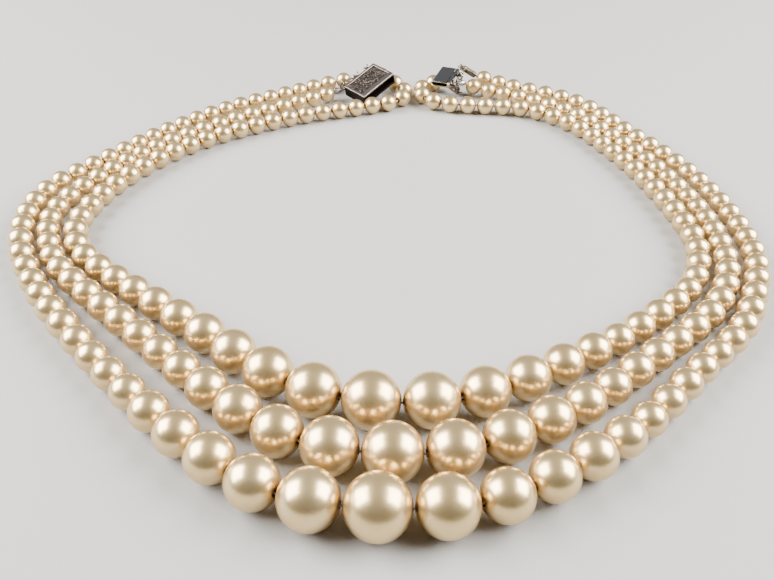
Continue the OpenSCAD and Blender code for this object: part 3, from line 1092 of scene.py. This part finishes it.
    def dome(self, shape: Shape, x: float, y: float, radius: float, height: float) -> None:
        """Adds one low round boss to the lid.

        Args:
            shape: The ornament in the making.
            x: Its place across the lid in millimetres.
            y: Its place along the lid in millimetres.
            radius: Its radius in millimetres.
            height: Its height over the lid in millimetres.
        """
        axis = np.array(self.place)[:3, 2]
        turns = [math.pi / 2 * i / 8 for i in range(8)]
        profile = [(-0.1 * MM, radius * MM)]
        profile += [(height * math.sin(a) * MM, radius * math.cos(a) * MM) for a in turns]
        profile.append((height * MM, 0.01 * radius * MM))
        shape.add(*revolve(profile, self.placed(np.array([[x, y, 0]]))[0], axis, 20))


@dataclass
class ClaspTongue(ClaspHalf):
    """The tongue half: a springy leaf folded double, with an end bar. Sizes are in millimetres."""

    width: float = 9.0
    length: float = 5.5
    height: float = 1.5
    leaf: float = 0.35
    bar: float = 0.8
    gap: float = 0.2

    def build(
        self, leaf: bpy.types.Material, wire: bpy.types.Material
    ) -> list[bpy.types.Object]:
        """Builds the folded leaf and its loops.

        Args:
            leaf: Finish of the polished leaf.
            wire: Finish of the loops.

        Returns:
            The pieces. The leaf stands for the node.
        """
        outline = self.outline()
        count = len(outline)
        half = self.width / 2
        points = [(side * half, y, z) for side in (-1, 1) for y, z in outline]
        faces = [(i, (i + 1) % count, (i + 1) % count + count, i + count) for i in range(count)]
        faces += [tuple(reversed(range(count))), tuple(range(count, 2 * count))]
        shape = Shape()
        shape.add(self.placed(np.array(points)), faces)
        piece = shape.piece(f"{self.node}_leaf", leaf, self.slot)
        self.soften(piece, 0.07)
        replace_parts(piece, self.node)
        return [piece, self.loops(wire)]

    def outline(self) -> list[tuple[float, float]]:
        """The leaf and bar seen from the side, as one closed outline.

        Returns:
            Distance to the strand side and height, in millimetres.
        """
        bend = self.height / 2
        fold = -self.length / 2 + bend
        back = self.length / 2
        turns = [math.radians(90 + 180 * i / 20) for i in range(21)]
        outer = [(fold + bend * math.cos(a), -bend + bend * math.sin(a)) for a in turns]
        inner = [(fold + (bend - self.leaf) * math.cos(a), -bend + (bend - self.leaf) * math.sin(a))
                 for a in reversed(turns)]
        return ([(back - self.bar - self.gap, 0.0)] + outer + [
            (back, -self.height), (back, 0.0), (back - self.bar, 0.0),
            (back - self.bar, -self.height + self.leaf)] + inner + [
            (back - self.bar - self.gap, -self.leaf)])


@dataclass(frozen=True)
class Softbox:
    """A large diffused lamp that faces the middle of the necklace. Sizes are in metres."""

    name: str
    toward: tuple[float, float, float]
    distance: float = 0.6
    size: tuple[float, float] = (0.5, 0.44)
    power: float = 16.5
    tint: str = "#FFFFFF"

    def place(self) -> None:
        """Adds the lamp to the scene."""
        lamp = bpy.data.lights.new(self.name, "AREA")
        lamp.shape = "RECTANGLE"
        lamp.size, lamp.size_y = self.size
        lamp.energy = self.power
        lamp.color = to_linear(self.tint)[:3]
        holder = bpy.data.objects.new(self.name, lamp)
        way = Vector(self.toward).normalized()
        holder.location = way * self.distance
        holder.rotation_mode = "QUATERNION"
        holder.rotation_quaternion = way.to_track_quat("Z", "Y")
        bpy.context.scene.collection.objects.link(holder)


@dataclass
class Studio:
    """Camera, backdrop paper and soft light.

    The paper is a round bowl, so that it ends the same way seen from any side.
    The room's tones run from the camera's side to pale_side, overhead and behind.
    """

    eye_mm: tuple[float, float, float] = (1.008, -149.894, 97.29)
    pitch_deg: float = 36.968
    roll_deg: float = 1.113
    focal_px: float = 820.0
    sensor_mm: float = 36.0
    paper_r_m: float = 1.7
    paper_back_m: float = 1.1
    bend_m: float = 0.3
    wall_m: float = 0.36
    pale_side: tuple[float, float, float] = (0.0, 0.55, 0.835)
    room_strength: float = 0.42
    room_tones: tuple[tuple[float, str], ...] = (
        (0.0, "#1E1712"), (0.38, "#2A211B"), (0.7, "#BFC1CB"), (1.0, "#CDCED5"))
    softboxes: tuple[Softbox, ...] = (
        Softbox("softbox_left", (-0.78, 0.02, 0.6)),
        Softbox("softbox_right", (0.78, 0.02, 0.6)),
    )

    def build(self) -> None:
        """Builds everything that isn't the necklace."""
        self.camera()
        self.paper()
        self.room()
        for softbox in self.softboxes:
            softbox.place()

    def camera(self) -> None:
        """Adds the camera at the photograph's viewing angle."""
        pitch, roll = math.radians(self.pitch_deg), math.radians(self.roll_deg)
        ahead = Vector((0, math.cos(pitch), -math.sin(pitch)))
        right = Vector((1, 0, 0))
        up = Vector((0, math.sin(pitch), math.cos(pitch)))
        side = math.cos(roll) * right + math.sin(roll) * up
        top = -math.sin(roll) * right + math.cos(roll) * up
        lens = bpy.data.cameras.new("camera")
        lens.sensor_width = self.sensor_mm
        lens.sensor_fit = "HORIZONTAL"
        lens.lens = self.focal_px / FRAME_W * self.sensor_mm
        lens.clip_start = 1 * MM
        holder = bpy.data.objects.new("camera", lens)
        holder.matrix_world = Matrix.Translation(Vector(self.eye_mm) * MM) @ Matrix(
            (side, top, -ahead)).transposed().to_4x4()
        bpy.context.scene.collection.objects.link(holder)
        bpy.context.scene.camera = holder

    def paper(self) -> None:
        """Lays the backdrop paper, which curves up into a low wall all round."""
        turns = [math.radians(d) for d in range(0, 91, 6)]
        profile = [(0.0, 1 * MM)]
        profile += [(self.bend_m * (1 - math.cos(a)), self.paper_r_m - self.bend_m * (1 - math.sin(a)))
                    for a in turns]
        profile.append((self.wall_m, self.paper_r_m))
        middle = np.array([0.0, self.paper_back_m - self.paper_r_m, 0.0])
        points, faces = revolve(profile, middle, np.array([0.0, 0.0, 1.0]), 96)
        mesh = bpy.data.meshes.new("backdrop")
        # The last face would be a lid over the bowl.
        mesh.from_pydata(points.tolist(), [], faces[:-1])
        mesh.shade_smooth()
        mesh.materials.append(MattPaper().make())
        backdrop = bpy.data.objects.new("backdrop", mesh)
        bpy.context.scene.collection.objects.link(backdrop)

    def room(self) -> None:
        """Sets the light of the room: pale overhead, dim on the camera's side."""
        world = bpy.data.worlds.new("room")
        bpy.context.scene.world = world
        world.use_nodes = True
        tree = world.node_tree
        tree.nodes.clear()
        way = add_node(tree, "ShaderNodeTexCoord").outputs["Generated"]
        height = add_node(tree, "ShaderNodeVectorMath", {"operation": "DOT_PRODUCT"}, {
            0: way, 1: self.pale_side})
        share = add_node(tree, "ShaderNodeMapRange", inputs={
            "Value": height.outputs["Value"], "From Min": -0.4, "From Max": 1.0})
        tone = add_node(
            tree, "ShaderNodeValToRGB", inputs={"Fac": share.outputs[0]}, stops=self.room_tones)
        light = add_node(tree, "ShaderNodeBackground", inputs={
            "Color": tone.outputs["Color"], "Strength": self.room_strength})
        add_node(tree, "ShaderNodeOutputWorld", inputs={"Surface": light.outputs[0]})


def main() -> None:
    """Builds the necklace and its studio in order and reports each piece."""
    logging.basicConfig(level=logging.INFO, format="%(name)s: %(message)s")
    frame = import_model()
    nodes: dict[str, bpy.types.Object] = frame["nodes"]
    Studio().build()
    lacquer = PearlLacquer().make()
    silk = SilkThread().make()
    wire = SilverPlate().make()
    cap = SilverPlate(
        name="silver_cap", bright="#C8BFB8", dull="#675C54", dull_share=0.45, patch_mm=0.9,
        roughness=(0.25, 0.45)).make()
    bullion = SilverPlate(
        name="bullion_wire", bright="#A39885", dull="#463C32", patch_mm=0.8,
        roughness=(0.25, 0.45)).make()
    leaf = SilverPlate(
        name="polished_leaf", bright="#ABAAA6", dull="#807972", dull_share=0.3, patch_mm=2.5,
        scratch_mm=0.2, stretch=(1.0, 0.15, 1.0), roughness=(0.05, 0.2), bump_mm=0.002).make()
    pieces: list[bpy.types.Object] = []
    for seed, row in enumerate(Row, FIRST_SEED):
        pieces += Strand(row, nodes, lacquer, silk, seed=seed).build()
    shapes = {
        (Row.MIDDLE, Side.LEFT): TipShape.BELL,
        (Row.OUTER, Side.RIGHT): TipShape.COIL,
        (Row.INNER, Side.RIGHT): TipShape.COIL,
    }
    ends: dict[Side, list[StrandEnd]] = {side: [] for side in Side}
    for side in Side:
        for row in Row:
            form = shapes.get((row, side), TipShape.BALL)
            end = StrandEnd(row, side, nodes, wire, bullion if form is TipShape.COIL else cap, form)
            pieces += end.build()
            ends[side].append(end)
    box = ClaspBox(
        "clasp_box", ends[Side.LEFT], at_mm=(-5.192, 68.506, 6.1), turn_deg=(-5.5, 18, -134.5),
        slot="silver_box")
    relief = TarnishedSilverSideShade(name="tarnished_relief", high="#574F48", low="#2B2521")
    pieces += box.build(TarnishedSilverSideShade().make(box.place), relief.make(box.place), wire)
    tongue = ClaspTongue(
        "clasp_tongue", ends[Side.RIGHT], at_mm=(16.308, 72.606, 6.6), turn_deg=(1.5, 6, -111),
        slot="silver_tongue")
    pieces += tongue.build(leaf, wire)
    for piece in pieces:
        LOG.info("%s: %d points", piece.name, len(piece.data.vertices))


if __name__ == "__main__":
    main()
